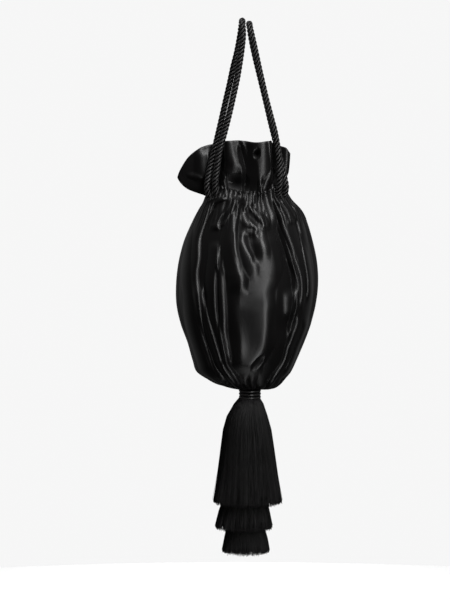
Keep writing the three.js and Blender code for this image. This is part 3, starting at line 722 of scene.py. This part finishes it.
def make_tier(tier, seed):
    """One tassel tier: three-sided tubes round the threads' lines, over a core. Each thread has a tone of its
    own, paler at the cut end, with painted shade deep in the layer and painted light at the head."""
    draw = np.random.default_rng(seed)
    rows = np.array(tier.rows, float)
    line, angle, share, depth = thread_lines(rows, tier.threads, draw)
    outward = np.stack([np.cos(angle), np.sin(angle), np.zeros_like(angle)], -1)
    sideways = np.stack([-np.sin(angle), np.cos(angle), np.zeros_like(angle)], -1)
    corner = np.radians([0, 120, 240])[:, None]
    thick = THREAD / 2 * (1 - 0.35 * share**6)[..., None, None]
    tube = line[:, :, None] + thick * (np.cos(corner) * outward[:, :, None]
                                       + np.sin(corner) * sideways[:, :, None])
    core_points, core_faces = tier_core(rows)
    each = THREAD_STEPS * 3
    quads, _, _ = ring_quads(THREAD_STEPS, 3)
    ends = np.array([[0, 1, 2], [each - 1, each - 2, each - 3]])
    start = len(core_points) + np.arange(tier.threads)[:, None, None] * each
    thread_faces = (start + quads[:, ::-1]).reshape(-1, 4)
    end_faces = (start + ends).reshape(-1, 3)
    points = np.concatenate([core_points, tube.reshape(-1, 3)]) * MM
    piece = add_piece(tier.node.replace("tier", "threads"), points,
                      [*core_faces, *thread_faces.tolist(), *end_faces.tolist()])
    own_tone = draw.exponential(OWN_TONE, tier.threads)[:, None]
    end_tone = draw.exponential(END_TONE, tier.threads)[:, None]
    # the thread's own tone, with painted shade deep in the layer, painted light at the head, and paler cut
    # ends
    tone = np.clip(own_tone - DEPTH_PAINTED_SHADE * depth + HEAD_PAINTED_LIGHT * ease(share, 0.3, 0.08)
                   + end_tone * ease(share, 0.6, 0.95), 0, 1)
    add_values(piece, "thread_tone_and_shading", np.append(np.zeros(len(core_points)), np.repeat(tone, 3, axis=1)))
    return piece


def new_node(tree, kind, values=None, **settings):
    """A shader node with its settings and the values of its input sockets."""
    node = tree.nodes.new(kind)
    for name, value in settings.items():
        setattr(node, name, value)
    for name, value in (values or {}).items():
        node.inputs[name].default_value = value
    return node


def new_group(name, inputs, outputs):
    """An empty shader group with sockets for numbers, and its input and output nodes."""
    group = bpy.data.node_groups.new(name, "ShaderNodeTree")
    for in_out, sockets in (("INPUT", inputs), ("OUTPUT", outputs)):
        for socket in sockets:
            group.interface.new_socket(socket, in_out=in_out, socket_type="NodeSocketFloat")
    return group, new_node(group, "NodeGroupInput"), new_node(group, "NodeGroupOutput")


def fibre_group():
    """Fibres along the V of a UV map in metres: noise drawn out along V, as a height and as a tone."""
    group, inputs, outputs = new_group("fibre_lines", ("Fibres per metre", "Breaks per metre"),
                                       ("Height", "Tone"))
    place = new_node(group, "ShaderNodeUVMap", uv_map="UVMap")
    scale = new_node(group, "ShaderNodeCombineXYZ")
    stretched = new_node(group, "ShaderNodeVectorMath", operation="MULTIPLY")
    fine = new_node(group, "ShaderNodeTexNoise", {"Scale": 1.0, "Detail": 2.0, "Roughness": 0.6})
    coarse = new_node(group, "ShaderNodeTexNoise", {"Scale": 0.16, "Detail": 2.0, "Roughness": 0.5})
    link = group.links.new
    link(inputs.outputs["Fibres per metre"], scale.inputs["X"])
    link(inputs.outputs["Breaks per metre"], scale.inputs["Y"])
    link(place.outputs["UV"], stretched.inputs[0])
    link(scale.outputs["Vector"], stretched.inputs[1])
    link(stretched.outputs["Vector"], fine.inputs["Vector"])
    link(stretched.outputs["Vector"], coarse.inputs["Vector"])
    link(fine.outputs["Fac"], outputs.inputs["Height"])
    link(coarse.outputs["Fac"], outputs.inputs["Tone"])
    return group


def mottle_group():
    """Slow soft patches on Object coordinates, from 0 to 1."""
    group, inputs, outputs = new_group("soft_mottle", ("Patches per metre",), ("Mask",))
    place = new_node(group, "ShaderNodeTexCoord")
    noise = new_node(group, "ShaderNodeTexNoise", {"Detail": 3.0, "Roughness": 0.55})
    link = group.links.new
    link(place.outputs["Object"], noise.inputs["Vector"])
    link(inputs.outputs["Patches per metre"], noise.inputs["Scale"])
    link(noise.outputs["Fac"], outputs.inputs["Mask"])
    return group


def new_material(name, **values):
    """A material with one Principled BSDF whose constants are set on its own sockets."""
    material = bpy.data.materials.new(name)
    material.use_nodes = True
    shader = material.node_tree.nodes["Principled BSDF"]
    for socket, value in values.items():
        shader.inputs[socket.replace("_", " ")].default_value = value
    return material, material.node_tree, shader


def place_group(tree, group, values):
    """A group node in a material's tree, with its input values."""
    return new_node(tree, "ShaderNodeGroup", values, node_tree=group)


def ramp_between(tree, mask, low, high):
    """A mask mapped to a range of values, which its middle part from 0.3 to 0.7 fills."""
    spread = new_node(tree, "ShaderNodeMapRange",
                      {"From Min": 0.3, "From Max": 0.7, "To Min": low, "To Max": high})
    tree.links.new(mask, spread.inputs["Value"])
    return spread.outputs["Result"]


def mix_colours(tree, mask, first, second):
    """Two colours mixed by a mask; the mix node's colour sockets go by number, since names are shared."""
    mix = new_node(tree, "ShaderNodeMix", data_type="RGBA")
    mix.inputs[6].default_value = (*first, 1)
    mix.inputs[7].default_value = (*second, 1)
    tree.links.new(mask, mix.inputs["Factor"])
    return mix.outputs[2]


def raise_fibres(tree, shader, height):
    """A faint relief of fibres on a shader's normal."""
    bump = new_node(tree, "ShaderNodeBump", {"Strength": 0.05, "Distance": 0.0001})
    link = tree.links.new
    link(height, bump.inputs["Height"])
    link(bump.outputs["Normal"], shader.inputs["Normal"])


def satin_material(fibres, mottle):
    """Black satin: near-black cloth, an even gloss that wanders a little, painted shade in the creases and
    hollows, where a metallic mix takes the gloss away, and fine warp threads."""
    material, tree, shader = new_material("black_satin", Specular_IOR_Level=0.5, Sheen_Weight=0.0)
    threads = place_group(tree, fibres, {"Fibres per metre": 3600.0, "Breaks per metre": 130.0})
    patches = place_group(tree, mottle, {"Patches per metre": 34.0})
    crease = new_node(tree, "ShaderNodeAttribute", attribute_name="crease")
    colour = mix_colours(tree, threads.outputs["Tone"], (0.0020, 0.0018, 0.0019), (0.0040, 0.0036, 0.0038))
    gloss = ramp_between(tree, patches.outputs["Mask"], 0.33, 0.39)
    rough = new_node(tree, "ShaderNodeMix", {"B": 0.8})
    link = tree.links.new
    link(colour, shader.inputs["Base Color"])
    # painted shade in the creases and hollows: the mask makes the near-black cloth metallic, so that it loses
    # its gloss there, and rougher
    link(crease.outputs["Fac"], shader.inputs["Metallic"])
    link(crease.outputs["Fac"], rough.inputs["Factor"])
    link(gloss, rough.inputs["A"])
    link(rough.outputs["Result"], shader.inputs["Roughness"])
    raise_fibres(tree, shader, threads.outputs["Height"])
    return material


def rope_material(fibres, mottle):
    """Black twisted rope: silk yarns along the strands, with painted highlights on the strands' crests and
    painted shade in the grooves between them.
    """
    material, tree, shader = new_material("black_rope", Specular_IOR_Level=0.5, Sheen_Weight=0.05)
    yarns = place_group(tree, fibres, {"Fibres per metre": 1500.0, "Breaks per metre": 120.0})
    patches = place_group(tree, mottle, {"Patches per metre": 60.0})
    crest = new_node(tree, "ShaderNodeAttribute", attribute_name="strand_crest_light")
    # painted highlights and shade: the colour grows paler towards the strands' crests, and the grooves turn
    # metallic, which takes their gloss away
    tone = new_node(tree, "ShaderNodeMapRange", {"From Min": 0.6, "From Max": 1.0})
    groove_shade = new_node(tree, "ShaderNodeMapRange", {"From Min": 0.85, "From Max": 0.5})
    colour = mix_colours(tree, tone.outputs["Result"], (0.0008, 0.0008, 0.0008), (0.038, 0.0365, 0.037))
    rough = ramp_between(tree, patches.outputs["Mask"], 0.36, 0.44)
    link = tree.links.new
    link(crest.outputs["Fac"], tone.inputs["Value"])
    link(crest.outputs["Fac"], groove_shade.inputs["Value"])
    link(groove_shade.outputs["Result"], shader.inputs["Metallic"])
    link(colour, shader.inputs["Base Color"])
    link(rough, shader.inputs["Roughness"])
    raise_fibres(tree, shader, yarns.outputs["Height"])
    return material


def thread_material(mottle):
    """Black tassel thread: each thread has its own tone, with painted light at the head and painted shade
    deep in the layer, and the cut ends are paler.
    """
    material, tree, shader = new_material("black_thread", Specular_IOR_Level=0.3, Sheen_Weight=0.0)
    tone = new_node(tree, "ShaderNodeAttribute", attribute_name="thread_tone_and_shading")
    patches = place_group(tree, mottle, {"Patches per metre": 90.0})
    colour = mix_colours(tree, tone.outputs["Fac"], (0.002, 0.002, 0.0021), (0.034, 0.0325, 0.0335))
    rough = ramp_between(tree, patches.outputs["Mask"], 0.5, 0.65)
    link = tree.links.new
    link(colour, shader.inputs["Base Color"])
    link(rough, shader.inputs["Roughness"])
    return material


def make_floor():
    """A pale round floor far below the hanging bag, rings from its edge to its middle, that glows like a lit
    studio sweep without lighting the bag from below."""
    columns = 96
    height = -0.9
    angle = np.arange(columns) * 2 * math.pi / columns
    radius = np.array([1.7, 0.9, 0.3])
    grid = np.stack([radius[:, None] * np.cos(angle), radius[:, None] * np.sin(angle),
                     np.full((len(radius), columns), height)], -1)
    points = np.concatenate([grid.reshape(-1, 3), [[0, 0, height]]])
    quads, _, _ = ring_quads(len(radius), columns)
    fan = ring_fan((len(radius) - 1) * columns + np.arange(columns), len(points) - 1)
    floor = add_piece("floor", points, [*quads.tolist(), *fan.tolist()])
    material, _, _ = new_material("pale_floor", Roughness=0.9, Base_Color=(0.4, 0.4, 0.4, 1),
                                  Emission_Color=(1, 1, 1, 1), Emission_Strength=0.76)
    floor.data.materials.append(material)
    floor.visible_glossy = False
    floor.visible_diffuse = False


def soft_box(name, place, target, size, power):
    """A rectangular lamp that faces a target and isn't itself seen."""
    lamp = bpy.data.lights.new(name, "AREA")
    lamp.shape = "RECTANGLE"
    lamp.size, lamp.size_y = size
    lamp.energy = power
    holder = bpy.data.objects.new(name, lamp)
    holder.location = place
    holder.rotation_mode = "QUATERNION"
    holder.rotation_quaternion = (target - holder.location).to_track_quat("-Z", "Y")
    holder.visible_camera = False
    bpy.context.scene.collection.objects.link(holder)


def make_lamps(target):
    """Tall soft boxes that face the bag: a bank on an arc from below to above, in front and to the right, and
    one straight behind."""
    turn = math.radians(LAMP_TURN)
    for name, rise, power in LAMP_BANK:
        tilt = math.radians(rise)
        way = Vector((math.sin(turn) * math.cos(tilt), -math.cos(turn) * math.cos(tilt), math.sin(tilt)))
        soft_box(name, target + LAMP_DISTANCE * way, target, LAMP_SIZE, power)
    soft_box("back_lamp", target + Vector((0, LAMP_DISTANCE, 0.2)), target, LAMP_SIZE, 9.0)


def make_world():
    """A plain bright backdrop for the camera; what the bag reflects is dim in front, brighter behind and dark
    below."""
    world = bpy.data.worlds.new("studio")
    world.use_nodes = True
    tree = world.node_tree
    tree.nodes.clear()
    seen = new_node(tree, "ShaderNodeBackground", {"Color": (0.925, 0.925, 0.925, 1), "Strength": 1.0})
    lit = new_node(tree, "ShaderNodeBackground")
    way = new_node(tree, "ShaderNodeTexCoord")
    split = new_node(tree, "ShaderNodeSeparateXYZ")
    depth = new_node(tree, "ShaderNodeMapRange",
                     {"From Min": -0.7, "From Max": 0.9, "To Min": 0.03, "To Max": 0.20})
    height = new_node(tree, "ShaderNodeMapRange",
                      {"From Min": -0.6, "From Max": 0.2, "To Min": 0.25, "To Max": 1.0})
    path = new_node(tree, "ShaderNodeLightPath")
    mix = new_node(tree, "ShaderNodeMixShader")
    output = new_node(tree, "ShaderNodeOutputWorld")
    link = tree.links.new
    link(way.outputs["Generated"], split.inputs["Vector"])
    link(split.outputs["Y"], depth.inputs["Value"])
    link(split.outputs["Z"], height.inputs["Value"])
    link(depth.outputs["Result"], lit.inputs["Color"])
    link(height.outputs["Result"], lit.inputs["Strength"])
    link(path.outputs["Is Camera Ray"], mix.inputs["Fac"])
    link(lit.outputs["Background"], mix.inputs[1])
    link(seen.outputs["Background"], mix.inputs[2])
    link(mix.outputs["Shader"], output.inputs["Surface"])
    bpy.context.scene.world = world


def make_camera():
    """A long lens at the photograph's angle; one millimetre at the bag's middle is one pixel of 600."""
    target = Vector((-0.022, 0, -0.272))
    rise = math.radians(7)
    distance = 3.0
    camera = bpy.data.cameras.new("camera")
    camera.lens = 180
    camera.sensor_width = 36
    holder = bpy.data.objects.new("camera", camera)
    holder.location = target + Vector((0, -math.cos(rise), math.sin(rise))) * distance
    holder.rotation_euler = (math.pi / 2 - rise, 0, 0)
    bpy.context.scene.collection.objects.link(holder)
    bpy.context.scene.camera = holder
    return target


def settle(piece, material, slot, *nodes):
    """Gives a piece its material, rides it on the bag and lets it stand for its solids. The slot is not used.
    """
    piece.data.materials.append(material)
    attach(piece, BODY)
    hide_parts(*nodes)


middle = make_camera()
left_rope, left_path = make_rope("rope_left", LEFT_ROUTE)
right_rope, right_path = make_rope("rope_right", RIGHT_ROUTE)
pouch = make_pouch()
binding = make_binding()
tiers = [make_tier(tier, seed) for seed, tier in enumerate(TIERS, start=11)]

fibres = fibre_group()
mottle = mottle_group()
satin = satin_material(fibres, mottle)
rope_silk = rope_material(fibres, mottle)
thread = thread_material(mottle)

settle(pouch, satin, "satin", "satin_pouch")
settle(left_rope, rope_silk, "rope", "rope_loop_left")
settle(right_rope, rope_silk, "rope", "rope_loop_right")
settle(binding, rope_silk, "rope", "foot_binding")
for tier, piece in zip(TIERS, tiers):
    settle(piece, thread, "tassel_thread", tier.node)

make_floor()
make_world()
make_lamps(middle)
bpy.context.scene.view_settings.view_transform = "Standard"
